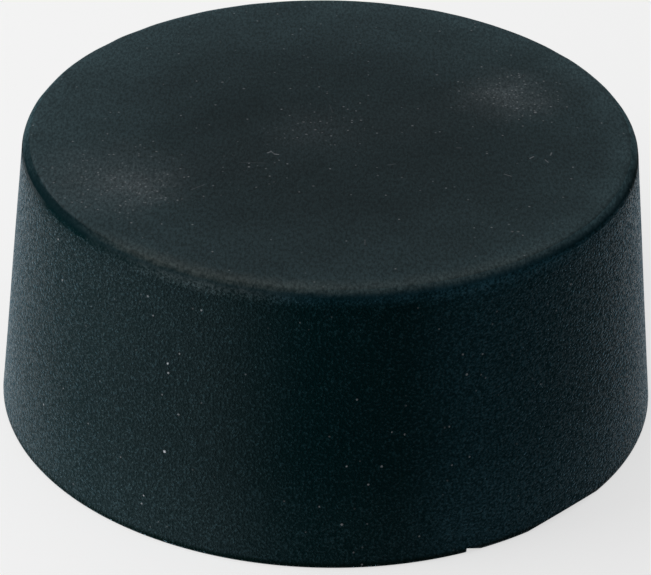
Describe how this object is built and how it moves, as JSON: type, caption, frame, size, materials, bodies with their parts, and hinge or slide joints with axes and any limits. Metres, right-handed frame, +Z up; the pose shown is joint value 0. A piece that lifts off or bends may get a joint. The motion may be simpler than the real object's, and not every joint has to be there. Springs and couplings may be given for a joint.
{
  "type": "rubber tip",
  "caption": "Low, slightly conical tip moulded in black rubber, with a closed flat face, a rounded edge and a blind round socket that slips over the end of a tube.",
  "frame": {"origin": "centre of the base plane, on which the open rim stands", "axes": "+Z up the tip's axis from the open rim to the closed face, -Y towards the viewer, +X to the right"},
  "size_m": [0.032, 0.032, 0.014],
  "materials": {
    "rubber": "matte black moulded rubber, with a fine grain on the side, a smoother top, and a little dust"
  },
  "bodies": {
    "root": {"rubber_tip": "rubber"}
  },
  "joints": []
}
